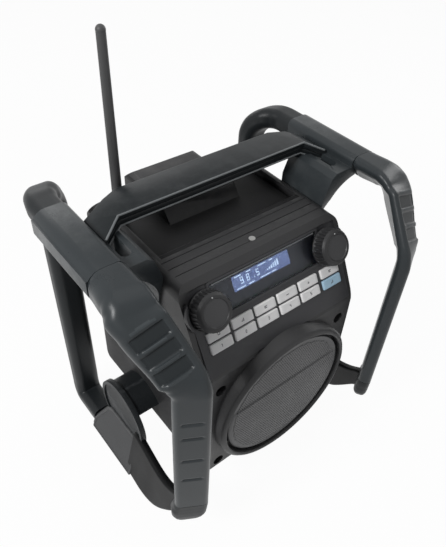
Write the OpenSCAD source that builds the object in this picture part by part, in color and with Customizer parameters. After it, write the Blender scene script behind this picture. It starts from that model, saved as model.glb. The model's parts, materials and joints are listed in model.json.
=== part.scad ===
/* [Body] */
// Width of the radio body, without the side loops
body_w = 170; // [160:1:176]
// Height of the body's lower edge above the floor
body_z0 = 50; // [46:1:54]
// Height of the body's top edge above the floor
body_z1 = 263; // [261:1:266]
// Depth position of the back wall, behind the middle
body_back = 98; // [96:1:100]
// Lean of the control face away from upright
panel_lean = 30; // [29:0.5:31]

/* [Speaker] */
// Outer diameter of the round speaker bezel
bezel_d = 150; // [146:1:152]
// Height of the speaker centre above the floor
speaker_z = 121; // [119:1:123]
// Diameter of the speaker grille
grille_d = 134; // [126:1:136]

/* [Controls] */
// Diameter of the two rotary knobs
knob_d = 33; // [30:0.5:34]
// Height of the knobs
knob_h = 14; // [12:0.5:16]
// Distance of each knob from the middle line
knob_x = 65; // [64:0.5:66]
// Width of one button
button_w = 21.6; // [19:0.2:22]
// Height of one button along the control face
button_h = 8.6; // [7.5:0.1:8.8]
// How far a button stands out of the control face
button_rise = 1.8; // [1.2:0.1:2.4]

/* [Cage] */
// Width over the two side loops at their widest
cage_w = 298; // [294:1:302]
// Height of the carrying handle's top above the floor
handle_z = 300; // [299:0.5:302]
// Depth of the handle bar, front to back
handle_depth = 32; // [28:1:34]
// Height of the antenna tip above the floor
antenna_z = 417; // [380:1:440]

/* [Hidden] */
$fn = 64;

half_w = body_w / 2;
front_y = -85;
panel_o = [0, -63.4, 224.8];          // upper edge of the button block, on the control face
knob_y = 17.5;                         // height of the knob axes above that edge
knob_rise = 1.5;                       // gap under the knobs
lean = panel_lean;
hinge_z = 76;                          // hinge line of the battery door
split_y = 0;                           // joint between the two cabinet halves
eps = 0.01;

function unit(v) = v / norm(v);
function face_y(z, d) = panel_o[1] - tan(lean) * (panel_o[2] - z) - d / cos(lean);

// rounded rectangle section, exact arcs
module rrect(w, h, r) {
  square([w - 2 * r, h], center = true);
  square([w, h - 2 * r], center = true);
  for (sx = [-1, 1], sy = [-1, 1]) translate([sx * (w / 2 - r), sy * (h / 2 - r)]) circle(r);
}
// local +Z along d, local X as near to global X as it can be
module along(p, d) {
  w = unit([1, 0, 0] - d[0] * d);
  v = cross(d, w);
  multmatrix([[w[0], v[0], d[0], p[0]], [w[1], v[1], d[1], p[1]], [w[2], v[2], d[2], p[2]], [0, 0, 0, 1]])
    children();
}
// side outline (y, z) carried across the width
module side(w, x = 0) translate([x, 0, 0]) rotate([90, 0, 90]) linear_extrude(w, center = true) children();
// front outline (x, z) carried from y0 to y1
module front(y0, y1) translate([0, y1, 0]) rotate([90, 0, 0]) linear_extrude(y1 - y0) children();
module on_panel() translate(panel_o) rotate([90 - lean, 0, 0]) children();

// ---- body ----
module body_outline(r, g) {
  w = body_w - 2 * g;
  translate([0, (body_z0 + body_z1) / 2]) rrect(w, body_z1 - body_z0 - 2 * g, r);
}
module front_profile(g) polygon([[split_y + eps, body_z0 + g], [-79, body_z0 + g], [front_y + g, body_z0 + 8],
  [front_y + g, 130], [-82 + g, 188], [face_y(258, 1.1 - g * 1.1), 258], [-41 + g, body_z1 - g],
  [split_y + eps, body_z1 - g]]);
module body_plan(r, g) translate([0, (body_back + front_y) / 2])
  rrect(body_w - 2 * g, body_back - front_y - 2 * g, r);
module front_cabinet() color([0.2, 0.2, 0.2]) difference() {
  intersection() {
    side(body_w + 10) front_profile(0);
    front(-100, 0) body_outline(11, 0);
    linear_extrude(300) body_plan(8, 0);
  }
  // hollow inside
  intersection() {
    side(body_w - 8) front_profile(4);
    front(-100, 1) body_outline(8, 4);
  }
  // speaker opening
  translate([0, 0, speaker_z]) rotate([90, 0, 0]) cylinder(h = 120, d = bezel_d + 0.2);
  // seat and opening of the control face
  on_panel() { 
    translate([-half_w + 5, -37, -3]) cube([body_w - 10, 74, 20]);
    translate([-half_w + 9, -26, -12]) cube([body_w - 18, 60, 20]);
  }
  // room for the knob guards
  for (s = [-1, 1]) on_panel() translate([s * knob_x, knob_y, -0.05]) cylinder(h = 20, d = knob_d + 7.4);
  // screw recesses beside the speaker
  for (sx = [-1, 1], z = [171, 66]) translate([sx * 69, -70, z]) rotate([90, 0, 0]) cylinder(h = 40, d = 11);
  // fine lines along the brow
  for (i = [0 : 2]) translate([-half_w, -14 - i * 9, body_z1 - 0.6]) cube([body_w, 0.8, 2]);
  // status lamp hole
  translate([0, -30, body_z1 - 6]) cylinder(h = 10, d = 6);
  // step for the dark top cover
  translate([-74, -9, body_z1 - 12]) cube([148, 20, 20]);
}
module rear_profile(g) polygon([[split_y - (g > 0 ? 1 : 0), body_z0 + 2 + g], [82, body_z0 + 2 + g], [body_back - g, 72],
  [body_back - g, 240], [84, body_z1 - g], [split_y - (g > 0 ? 1 : 0), body_z1 - g]]);
module hinge_pin_axis(x) translate([x, body_back + 1, hinge_z]) rotate([0, 90, 0]) children();
module rear_cabinet() color([0.2, 0.2, 0.2]) {
  rear_shell();
  // two hinge lugs for the battery door
  for (x = [-47, 41]) difference() {
    union() {
      hinge_pin_axis(x) cylinder(h = 6, r = 2.6);
      translate([x, body_back - 8, hinge_z - 6]) cube([6, 8, 6]);
      translate([x, body_back - 8, hinge_z - 2.6]) cube([6, 9, 2.6]);
    }
    hinge_pin_axis(x - 1) cylinder(h = 8, r = 1.25);
  }
}
module rear_shell() difference() {
  union() {
    difference() {
      intersection() {
        side(body_w + 10) rear_profile(0);
        front(0, 120) body_outline(11, 0);
        linear_extrude(300) body_plan(8, 0);
      }
      intersection() {
        side(body_w - 8) rear_profile(4);
        front(-1, 120) body_outline(8, 4);
      }
    }
    // walls of the battery bay
    translate([-49, 33, 78]) cube([98, 60, 146]);
    translate([-57, 88.6, 69]) cube([114, 5.9, 158]);
    translate([58, 85, 80]) cube([24, 10, 34]);
  }
  translate([-45, 37, 82]) cube([90, 80, 138]);
  // door seat
  translate([-53.4, body_back - 5.4, 72.6]) cube([106.8, 20, 152]);
  translate([-74, -9, body_z1 - 12]) cube([148, 100, 20]);
  translate([-70, 60, 251.05]) cylinder(h = 30, d = 13);
  // socket recess in the lower back
  translate([62, body_back - 9, 82.9]) cube([16, 30, 27.1]);
}
module top_cover() color([0.05, 0.05, 0.05]) difference() {
  union() {
    intersection() {
      side(147.6) polygon([[-8.8, 251.2], [-8.8, 263], [-5, 263], [3, 255], [60, 255], [82, 258], [84, 262.5],
        [90.8, 257], [90.8, 251.2]]);
      front(-20, 120) body_outline(11, 0);
    }
    for (x = [-60 : 12 : 60]) translate([x - 1.5, 6, 254]) cube([3, 22, 2]);
  }
  translate([-38, 31, 240]) cube([76, 100, 40]);
  translate([-70, 60, 240]) cylinder(h = 40, d = 13);
}
module battery_hood() color([0.2, 0.2, 0.2]) intersection() {
  side(76) polygon([[31, 251.5], [31, 254], [45, 270], [99, 270], [105, 264], [105, 243], [98.2, 238], [98.2, 240.3],
    [91.5, 251.5]]);
  front(0, 120) translate([0, 254]) rrect(76, 32, 6);
}

// ---- control face ----
module panel_plate() {
  difference() {
    translate([-half_w + 5.2, -36.8, -3]) cube([body_w - 10.4, 73.6, 3]);
    // window, knob holes, key holes
    translate([-57, 7, -4]) cube([114, 28, 5]);
    for (s = [-1, 1]) translate([s * knob_x, knob_y, -4]) cylinder(h = 5, d = 11);
    for (c = [0 : 5], r = [0, 1]) key_place(c, r) translate([0, 0, -4]) linear_extrude(6)
      rrect(button_w + 0.8, button_h + 0.8, 1.2);
  }
  // posts that carry the board
  for (x = [-66, 66], y = [-22.8, 30]) translate([x, y, -6.29]) cylinder(h = 3.3, d = 5);
  // raised guard arcs on the outer side of each knob
  for (s = [-1, 1]) translate([s * knob_x, knob_y, -eps]) difference() {
    cylinder(h = 5, d = knob_d + 7);
    translate([0, 0, -1]) cylinder(h = 8, d = knob_d + 2.4);
    translate([-s * 14 - 30, -40, -1]) cube([60, 80, 8]);
  }
  // frame around the window
  translate([0, 21, -eps]) linear_extrude(1.2) difference() {
    rrect(119, 32, 2);
    rrect(114, 28, 0.8);
  }
}
module key_place(c, r) translate([(c - 2.5) * 24.4 + (c == 5 ? 1.4 : -0.3), -button_h / 2 - r * 10.4, 0]) children();
module control_panel() color([0.16, 0.16, 0.17]) difference() {
  on_panel() panel_plate();
  translate([0, 0, speaker_z]) rotate([90, 0, 0]) cylinder(h = 120, d = bezel_d + 0.2);
  front(-120, 0) difference() {
    square([400, 600], center = true);
    body_outline(11, 0);
  }
}
module display_window() color([0.05, 0.06, 0.1]) on_panel() translate([-56.8, 7.2, -3]) cube([113.6, 27.6, 1.6]);
module display_module() color([0.35, 0.4, 0.8]) on_panel() {
  translate([-45, 9, -6.29]) cube([80, 24, 2.6]);
  translate([-34, 12, -3.7]) cube([58, 18, 0.6]);
}
module status_lamp() color([0.9, 0.9, 0.85]) translate([0, -30, body_z1 - 4.02]) {
  cylinder(h = 4.5, d = 5.6);
  translate([0, 0, -2]) cylinder(h = 2, d = 7);
}
module main_board() color([0.1, 0.35, 0.2]) on_panel() difference() {
  translate([-72, -25.4, -7.9]) cube([144, 59, 1.6]);
  for (x = [-66, 66], y = [-22.8, 30]) translate([x, y, -9]) cylinder(h = 4, d = 2.4);
}
module keypad_mat() color([0.3, 0.3, 0.3]) on_panel() {
  translate([-74, -19.8, -6.29]) cube([148, 20.6, 1.1]);
  for (c = [0 : 5], r = [0, 1]) key_place(c, r) translate([0, 0, -5.2]) cylinder(h = 0.2, d = 6);
}
module key(c, r) on_panel() key_place(c, r) difference() {
  union() {
    translate([0, 0, -3.1]) linear_extrude(3.1 + button_rise - 0.5) rrect(button_w, button_h, 1);
    translate([0, 0, button_rise - 0.5]) linear_extrude(0.5) rrect(button_w - 0.8, button_h - 0.8, 0.8);
    translate([0, 0, -3.9]) linear_extrude(0.8) rrect(button_w + 1.8, button_h + 1.1, 1.2);
  }
  translate([0, 0, button_rise + 24 - 0.25]) sphere(24);
}
module button_1_upper() color([0.85, 0.85, 0.86]) key(0, 0);
module button_1_lower() color([0.85, 0.85, 0.86]) key(0, 1);
module button_2_upper() color([0.85, 0.85, 0.86]) key(1, 0);
module button_2_lower() color([0.85, 0.85, 0.86]) key(1, 1);
module button_3_upper() color([0.85, 0.85, 0.86]) key(2, 0);
module button_3_lower() color([0.85, 0.85, 0.86]) key(2, 1);
module button_4_upper() color([0.85, 0.85, 0.86]) key(3, 0);
module button_4_lower() color([0.85, 0.85, 0.86]) key(3, 1);
module button_5_upper() color([0.85, 0.85, 0.86]) key(4, 0);
module button_5_lower() color([0.85, 0.85, 0.86]) key(4, 1);
module button_6_upper() color([0.85, 0.85, 0.86]) key(5, 0);
module button_6_lower() color([0.6, 0.8, 0.95]) key(5, 1);
module knob(s) on_panel() translate([s * knob_x, knob_y, knob_rise]) difference() {
  union() {
    cylinder(h = 2, d = knob_d + 0.8);
    translate([0, 0, 2]) cylinder(h = knob_h - 4, d = knob_d - 1);
    translate([0, 0, knob_h - 2]) cylinder(h = 2, d1 = knob_d - 1, d2 = knob_d - 5);
    for (a = [0 : 15 : 359]) rotate(a) translate([knob_d / 2 - 0.8, -1, 2]) cube([1.3, 2, knob_h - 5]);
  }
  translate([0, 0, knob_h - 1]) cylinder(h = 2, d = knob_d - 12);
  translate([0, 0, -1]) cylinder(h = 9, d = 6.1);
}
module volume_knob() color([0.1, 0.1, 0.1]) knob(-1);
module tuning_knob() color([0.1, 0.1, 0.1]) knob(1);
module encoder(s) on_panel() translate([s * knob_x, knob_y, 0]) {
  translate([-6, -6, -6.29]) cube([12, 12, 2.9]);
  translate([0, 0, -3.4]) cylinder(h = 3, d = 9);
  translate([0, 0, -0.4]) cylinder(h = 7.6, d = 6);
}
module volume_encoder() color([0.7, 0.7, 0.72]) encoder(-1);
module tuning_encoder() color([0.7, 0.7, 0.72]) encoder(1);

// ---- speaker ----
module speaker_axis() translate([0, 0, speaker_z]) rotate([90, 0, 0]) children();
module speaker_bezel() color([0.12, 0.12, 0.12]) speaker_axis() difference() {
  union() {
    translate([0, 0, 68]) cylinder(h = 25, d = bezel_d);
    translate([0, 0, 93]) cylinder(h = 3, d1 = bezel_d, d2 = bezel_d - 6);
  }
  translate([0, 0, 60]) cylinder(h = 40, d = grille_d - 6);
  translate([0, 0, 86]) cylinder(h = 11, d = grille_d + 5);
  translate([-3, bezel_d / 2 - 7, 90]) cube([6, 12, 10]);
}
module speaker_grille() color([0.3, 0.3, 0.3]) speaker_axis() difference() {
  translate([0, 0, 86]) cylinder(h = 8, d = grille_d);
  translate([0, 0, 80]) cylinder(h = 9, d = grille_d - 10);
  // lower fields above and below the broad middle band
  for (z = [142, 12]) translate([-80, z - speaker_z, 93]) cube([160, 52, 3]);
  // row of slots in each field
  for (i = [0 : 5], z = [57, 145]) translate([-60, z + i * 6.6 - speaker_z, 92]) cube([120, 1.6, 3]);
}
module speaker_frame() color([0.25, 0.25, 0.27]) speaker_axis() {
  difference() {
    union() {
      translate([0, 0, 64]) cylinder(h = 4, d = 140);
      translate([0, 0, 38]) cylinder(h = 26, d1 = 70, d2 = 118);
      translate([0, 0, 12]) cylinder(h = 26, d = 74);
    }
    translate([0, 0, 42]) cylinder(h = 30, d1 = 62, d2 = 116);
    translate([0, 0, 20]) cylinder(h = 30, d = 30);
    for (a = [0 : 60 : 300]) rotate(a) translate([32, -12, 40]) cube([30, 24, 20]);
  }
}
module speaker_cone() color([0.08, 0.08, 0.08]) speaker_axis() difference() {
  translate([0, 0, 46]) cylinder(h = 22, d1 = 34, d2 = 102);
  translate([0, 0, 48]) cylinder(h = 22, d1 = 31, d2 = 102);
  translate([0, 0, 40]) cylinder(h = 10, d = 26);
}
module front_screws() color([0.5, 0.5, 0.52]) for (sx = [-1, 1], z = [171, 66])
  translate([sx * 69, -70, z]) rotate([90, 0, 0]) difference() {
    cylinder(h = 7, d = 8);
    translate([-3, -0.6, 5.6]) cube([6, 1.2, 3]);
    translate([-0.6, -3, 5.6]) cube([1.2, 6, 3]);
  }

// ---- cage ----
hz = handle_z;
top_z = handle_z - 2;                  // outer surface of the top beams
cage_x = cage_w / 2 - 19;              // middle of the top beams
seam_y = -28;                          // joint of beam and front grip
foot_top = 76;                         // joint of front grip and foot cap
foot_low = 49;                         // lowest point of the foot cap

// sections are rows of circles [x, y, r]; x runs inwards, y out of the loop
beam_section = [[-3, -12, 12], [9, -6, 6], [9, -8, 5], [-7, -17, 8]];
grip_section = [[-12, -11, 11], [10.5, -3.5, 3.5], [10.5, -5, 3.5], [-14, -18, 8]];
arm_section = [[-9.5, -5, 5], [9.5, -5, 5], [9.5, -8, 5], [-9.5, -8, 5]];
function mix(a, b, t) = a * (1 - t) + b * t;

// one thin slice of a loop: place, direction, roll about it, section
module slice(s) along(s[0], unit(s[1])) rotate(s[2]) for (c = s[3]) translate([c[0], c[1], -0.5])
  cylinder(h = 1, r = c[2], $fn = 36);
module loft(rows) for (i = [1 : len(rows) - 1]) hull() {
  slice(rows[i - 1]);
  slice(rows[i]);
}
grip_a = [-127.5, -78, 283.8];
grip_b = [-119.5, -104, 252];
arm_x = -117.7;
arm_y = -110.5;
grip_rows = [
  [[-cage_x, seam_y - 0.5, top_z], [0, -1, 0], 0, beam_section],
  [[-cage_x, -48, top_z], [0, -1, 0], 0, mix(beam_section, grip_section, 0.2)],
  [[-129.5, -59, top_z - 2], [0, -0.94, -0.35], 5, mix(beam_section, grip_section, 0.6)],
  [[-129, -68, top_z - 7.5], [0.03, -0.75, -0.66], 9, grip_section],
  [grip_a, [0.19, -0.62, -0.76], 14, grip_section],
  [grip_b, [0.19, -0.62, -0.76], 20, mix(grip_section, arm_section, 0.35)],
  [[-118.4, -108.6, 243], [0.12, -0.3, -0.94], 25, mix(grip_section, arm_section, 0.7)],
  [[arm_x, arm_y, 230], [0, 0, -1], 30, arm_section],
  [[arm_x, arm_y, foot_top + 0.5], [0, 0, -1], 30, arm_section]];
module on_grip(t) along(mix(grip_a, grip_b, t), unit(grip_b - grip_a)) rotate(14 + 6 * t) children();
module front_grip() difference() {
  loft(grip_rows);
  // three sunk finger panels with doubled ridges between them
  for (t = [0.02, 0.36, 0.70]) on_grip(t) translate([-11, -1.3, 0]) cube([22, 4, 11]);
  for (t = [-0.03, 0.31, 0.65, 0.99]) on_grip(t) translate([-11, -0.6, 0]) cube([22, 4, 0.9]);
  // short grooves down the front
  for (z = [189, 172, 142, 112]) along([arm_x, arm_y, z], [0, 0, -1]) rotate(30) translate([-9, -0.7, 0]) cube([18, 3, 1.8]);
}
module left_front_grip() color([0.27, 0.3, 0.31]) front_grip();
module right_front_grip() color([0.27, 0.3, 0.31]) mirror([1, 0, 0]) front_grip();
module foot_cap() loft([
  [[arm_x, arm_y, foot_top - 0.5], [0, 0, -1], 30, arm_section],
  [[arm_x, arm_y, foot_low + 12], [0, 0, -1], 30, arm_section],
  [[arm_x, arm_y + 1.3, foot_low + 4.5], [0, 0, -1], 30, arm_section * 0.82],
  [[arm_x, arm_y + 3.6, foot_low + 0.5], [0, 0, -1], 30, arm_section * 0.5]]);
module left_foot_cap() color([0.24, 0.26, 0.27]) foot_cap();
module right_foot_cap() color([0.24, 0.26, 0.27]) mirror([1, 0, 0]) foot_cap();
module gusset() intersection() {
  // web from beam and handle down to the body's flank
  front(-34, 26) difference() {
    polygon([[-half_w - 0.01, 225], [-half_w - 0.01, 266], [-92, 284], [-97, 288], [-122, 288], [-122, 236], [-100, 225]]);
    translate([-128, 238]) circle(41);
  }
  side(90, -100) polygon([[seam_y + 0.3, 300], [seam_y + 0.3, 262], [-20, 220], [26, 220], [26, 300]]);
}
module top_beam() difference() {
  union() {
    along([-cage_x, 55, top_z], [0, -1, 0]) linear_extrude(55 - seam_y - 0.3) {
      translate([-3, -12]) circle(12);
      translate([9, -6]) circle(6);
      translate([-3, -14]) square([12, 14]);
      translate([-15, -18]) square([30, 12]);
      translate([-7, -17]) circle(8);
      translate([-7, -25]) square([6, 20]);
    }
    difference() {
      gusset();
      translate([-200, -60, 272]) cube([70.5, 120, 40]);
    }
  }
  handle_seat();
  // oval slot in the web
  for (y = [-12, 8]) translate([-106, y, 270]) cylinder(h = 40, d = 9);
  translate([-110.5, -12, 270]) cube([9, 20, 40]);
}
module left_top_beam() color([0.25, 0.28, 0.29]) top_beam();
module right_top_beam() color([0.25, 0.28, 0.29]) mirror([1, 0, 0]) top_beam();
module bottom_rail() difference() {
  intersection() {
    side(30, -120) polygon([[-9.01, 0], [-53, 0], [-64, 7], [-76, 20], [-88, 36], [-99, foot_low + 2],
      [-106, foot_low + 5], [-106, foot_top - 2], [-98, foot_top + 1], [-86, 66], [-73, 57], [-55, 55], [-9.01, 57]]);
    front(-120, 60) polygon([[-129, 0], [-130, 6], [-126.5, 60], [-125, 80], [-115, 80], [-116.5, 60], [-120, 0]]);
  }
  // seat against the inner face of the front arm
  along([arm_x, arm_y, 140], [0, 0, -1]) rotate(30) translate([-40, -13.05, 0]) cube([80, 60, 140]);
}
module left_bottom_rail() color([0.24, 0.26, 0.27]) bottom_rail();
module right_bottom_rail() color([0.24, 0.26, 0.27]) mirror([1, 0, 0]) bottom_rail();
hub = [-112, 15, 61];                  // middle of the hub's rim
module along_x(p) translate(p) rotate([0, 90, 0]) children();
module foot_block() {
  difference() {
    side(22, -116.5) polygon([[-9, 0], [60, 0], [60, 14], [46, 40], [-9, 46]]);
    // sloping outer face
    front(-60, 120) polygon([[-145, -1], [-126.5, -1], [-127, 5], [-112, 40], [-111.5, 47], [-145, 47]]);
  }
  difference() {
    along_x(hub) cylinder(h = -half_w - 0.01 - hub[0], r = 34);
    // lower front quarter is open
    side(60, -78) polygon([[-60, 161], [-60, -20], [60, -20], [25, 29], [-20, 98]]);
  }
  difference() {
    along_x(hub - [1.5, 0, 0]) cylinder(h = 5.5, r = 37);
    along_x(hub - [3, 0, 0]) cylinder(h = 3, r = 33.5);
  }
}
module left_foot_block() color([0.3, 0.32, 0.33]) foot_block();
module right_foot_block() color([0.3, 0.32, 0.33]) mirror([1, 0, 0]) foot_block();
rear_section = [[-5, -8, 8], [5, -8, 8], [5, -12, 8], [-5, -12, 8]];
module rear_arm() loft([
  [[-112, 60.51, 0], [0, 1, 0], 0, rear_section],
  [[-112, 90, 0], [0, 1, 0], 0, rear_section],
  [[-112, 101.5, 3.8], [0, 0.78, 0.62], 0, rear_section],
  [[-111.6, 109.5, 16], [0, 0.2, 0.98], 0, rear_section],
  [[-111.2, 111, 34], [0, 0, 1], 0, rear_section],
  [[-111, 111.5, 262], [0, 0, 1], 0, rear_section],
  [[-113, 109, 276], [-0.2, -0.35, 0.92], 0, rear_section],
  [[-119, 98, 290.5], [-0.3, -0.75, 0.6], 0, rear_section],
  [[-126, 82, 296.6], [-0.15, -0.97, 0.2], 0, rear_section],
  [[-cage_x + 2, 70, top_z - 1], [0, -1, 0], 0, rear_section],
  [[-cage_x + 2, 55.51, top_z - 1], [0, -1, 0], 0, rear_section]]);
module left_rear_arm() color([0.24, 0.26, 0.27]) rear_arm();
module right_rear_arm() color([0.24, 0.26, 0.27]) mirror([1, 0, 0]) rear_arm();

// ---- handle ----
module handle_seat() intersection() {
  translate([0, 0, 260]) linear_extrude(60) handle_plan(-0.05);
  front(-30, 90) polygon([[-80, hz - 11.55], [-92, hz - 11.55], [-114.1, hz - 20.1], [-114.1, hz + 9], [-80, hz + 9]]);
}
module handle_plan(g) polygon([[-95, 14 + g], [95, 14 + g], [114, 2 + g], [114, 34 - g], [94, 14 + handle_depth - 7 - g],
  [79, 14 + handle_depth - g], [-79, 14 + handle_depth - g], [-94, 14 + handle_depth - 7 - g], [-114, 34 - g], [-114, 2 + g]]);
module handle_bar() color([0.27, 0.3, 0.31]) intersection() {
  translate([0, 0, 270]) linear_extrude(40) handle_plan(0);
  front(-20, 80) polygon([[-94, hz], [94, hz], [114, hz - 9], [114, hz - 15], [93, hz - 5.5], [-93, hz - 5.5],
    [-114, hz - 15], [-114, hz - 9]]);
}
module handle_under() color([0.2, 0.2, 0.21]) intersection() {
  translate([0, 0, 270]) linear_extrude(40) handle_plan(1.2);
  front(-20, 80) polygon([[-93, hz - 5.51], [93, hz - 5.51], [114, hz - 15.01], [114, hz - 20], [92, hz - 11.5],
    [-92, hz - 11.5], [-114, hz - 20], [-114, hz - 15.01]]);
}

// ---- back ----
module battery_door() color([0.18, 0.18, 0.18]) {
  door_leaf();
  for (x = [-46, 40]) hinge_pin_axis(x) cylinder(h = 6, r = 1.2);
}
module door_leaf() difference() {
  union() {
    translate([-53, body_back - 4.6, 74]) cube([106, 5.6, 150.2]);
    for (x = [-40.6, 22.6]) hinge_pin_axis(x) cylinder(h = 18, r = 2.6);
  }
  // room for the lugs
  for (x = [-47.4, 40.6]) translate([x, body_back - 10, 70]) cube([6.8, 20, hinge_z + 3.2 - 70]);
  for (i = [-4 : 4]) translate([i * 10 - 1, body_back + 0.2, 96]) cube([2, 3, 96]);
  translate([0, body_back + 3, 208]) rotate([90, 0, 0]) cylinder(h = 12, d = 8);
}
module door_latch() color([0.12, 0.12, 0.12]) translate([0, body_back + 1.2, 208]) rotate([-90, 0, 0]) {
  cylinder(h = 2.5, d = 24);
  translate([-10, -2.5, 2.5]) cube([20, 5, 3.5]);
  translate([0, 0, -6.5]) cylinder(h = 6.6, d = 7.4);
}
module battery_contacts() color([0.75, 0.75, 0.7]) for (x = [-30, 0, 30]) translate([x, 60, 82.02]) {
  cylinder(h = 1, d = 16);
  translate([0, 0, 1]) cylinder(h = 6, d1 = 14, d2 = 6);
}
module socket_cover() color([0.06, 0.06, 0.06]) {
  translate([62.4, body_back - 2.4, 84.4]) cube([15.2, 2.4, 25.2]);
  translate([66, body_back - 0.4, 104]) cube([8, 2, 3]);
  along_x([63, body_back, 84.4]) cylinder(h = 14, r = 1);
}
module power_socket() color([0.3, 0.3, 0.3]) translate([70, body_back - 3.2, 97]) rotate([90, 0, 0]) difference() {
  cylinder(h = 5.8, d = 11);
  translate([0, 0, -1]) cylinder(h = 5, d = 6);
  }
module antenna_base() color([0.06, 0.06, 0.06]) translate([-70, 60, 0]) {
  translate([0, 0, 251.1]) cylinder(h = 14, d = 12.6);
  translate([0, 0, 265.1]) cylinder(h = 6, d1 = 12.6, d2 = 9);
}
module antenna_mast() color([0.04, 0.04, 0.04]) translate([-70, 60, 0]) {
  translate([0, 0, 271.1]) cylinder(h = antenna_z - 3.6 - 271.1, d1 = 8.6, d2 = 7);
  translate([0, 0, antenna_z - 3.6]) sphere(3.6);
}

front_cabinet();
rear_cabinet();
top_cover();
battery_hood();
control_panel();
display_window();
display_module();
status_lamp();
main_board();
keypad_mat();
button_1_upper();
button_1_lower();
button_2_upper();
button_2_lower();
button_3_upper();
button_3_lower();
button_4_upper();
button_4_lower();
button_5_upper();
button_5_lower();
button_6_upper();
button_6_lower();
volume_knob();
tuning_knob();
volume_encoder();
tuning_encoder();
speaker_bezel();
speaker_grille();
speaker_frame();
speaker_cone();
front_screws();
handle_bar();
handle_under();
left_top_beam();
right_top_beam();
left_front_grip();
right_front_grip();
left_foot_cap();
right_foot_cap();
left_bottom_rail();
right_bottom_rail();
left_foot_block();
right_foot_block();
left_rear_arm();
right_rear_arm();
battery_door();
door_latch();
battery_contacts();
socket_cover();
power_socket();
antenna_base();
antenna_mast();
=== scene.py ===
import bpy
import bmesh
import json
import math
from mathutils import Matrix, Vector


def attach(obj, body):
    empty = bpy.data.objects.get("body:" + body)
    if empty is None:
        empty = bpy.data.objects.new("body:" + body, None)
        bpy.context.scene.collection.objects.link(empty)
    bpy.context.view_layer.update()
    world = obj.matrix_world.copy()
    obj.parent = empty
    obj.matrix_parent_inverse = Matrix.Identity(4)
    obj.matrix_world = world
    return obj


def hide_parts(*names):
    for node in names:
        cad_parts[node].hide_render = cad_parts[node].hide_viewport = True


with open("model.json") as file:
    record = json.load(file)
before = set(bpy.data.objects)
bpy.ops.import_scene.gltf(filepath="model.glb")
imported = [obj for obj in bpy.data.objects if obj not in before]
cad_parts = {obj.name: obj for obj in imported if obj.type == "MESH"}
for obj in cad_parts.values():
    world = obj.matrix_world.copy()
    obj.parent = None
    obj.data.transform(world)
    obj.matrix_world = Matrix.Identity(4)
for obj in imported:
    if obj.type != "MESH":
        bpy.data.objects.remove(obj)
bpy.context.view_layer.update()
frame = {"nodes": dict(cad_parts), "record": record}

nodes = frame["nodes"]
scene = bpy.context.scene
mm = 0.001
sides = {"left": 1, "right": -1}   # the right side is the left one mirrored

cameraSet = {"place": (-0.25131, -0.29122, 0.55306), "yaw": 41.55, "down": 42.84, "roll": 3.93,
             "lens": 45.966, "shift": (-0.01803, 0.01114)}
lightSet = {
    "overhead": {"place": (0.1, 0.1, 1.4), "size": (1.0, 0.7), "power": 2.0},
    "leftWindow": {"place": (-1.0, -0.1, 1.05), "size": (0.34, 0.34), "power": 13},
    "rightWindow": {"place": (1.2, 0.0, 0.8), "size": (0.45, 0.55), "power": 4},
    "frontFill": {"place": (0.5, -1.3, 0.5), "size": (1.0, 0.7), "power": 1.2},
    "rearEdge": {"place": (0.2, 1.3, 0.8), "size": (0.9, 0.4), "power": 2},
}
studioSet = {"aim": (0, 0, 0.15), "worldLight": 0.16, "worldTint": (0.93, 0.96, 1),
             "floorTint": (0.8, 0.8, 0.8), "floorReach": 4, "floorDrop": 0.0002, "floorWhite": 0.96}


def newNode(tree, kind):
    return tree.nodes.new("ShaderNode" + kind)


def link(tree, a, b):
    tree.links.new(a, b)


def makeCamera():
    data = bpy.data.cameras.new("viewCamera")
    cam = bpy.data.objects.new("viewCamera", data)
    scene.collection.objects.link(cam)
    yaw, down, roll = (math.radians(cameraSet[k]) for k in ("yaw", "down", "roll"))
    ahead = Vector((math.sin(yaw) * math.cos(down), math.cos(yaw) * math.cos(down), -math.sin(down)))
    right = Vector((math.cos(yaw), -math.sin(yaw), 0))
    up = right.cross(ahead)
    across = right * math.cos(roll) + up * math.sin(roll)
    upright = up * math.cos(roll) - right * math.sin(roll)
    turn = Matrix((across, upright, -ahead)).transposed().to_4x4()
    cam.matrix_world = Matrix.Translation(Vector(cameraSet["place"])) @ turn
    data.sensor_fit = "HORIZONTAL"
    data.sensor_width = 36
    data.lens = cameraSet["lens"]
    data.shift_x, data.shift_y = cameraSet["shift"]
    data.clip_start, data.clip_end = 0.01, 50
    scene.camera = cam


def makeLights():
    aim = Vector(studioSet["aim"])
    for name, s in lightSet.items():
        data = bpy.data.lights.new(name, "AREA")
        data.shape = "RECTANGLE"
        data.size, data.size_y = s["size"]
        data.energy = s["power"]
        lamp = bpy.data.objects.new(name, data)
        scene.collection.objects.link(lamp)
        lamp.location = s["place"]
        lamp.rotation_mode = "QUATERNION"
        lamp.rotation_quaternion = (aim - lamp.location).to_track_quat("-Z", "Y")


def whiteWhereSeen(tree):
    # camera, mirror and glass rays meet plain white; every other ray meets the lit surface
    path = newNode(tree, "LightPath")
    seen = path.outputs["Is Camera Ray"]
    for ray in ("Is Glossy Ray", "Is Transmission Ray"):
        most = newNode(tree, "Math")
        most.operation = "MAXIMUM"
        link(tree, seen, most.inputs[0])
        link(tree, path.outputs[ray], most.inputs[1])
        seen = most.outputs[0]
    return seen


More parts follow.
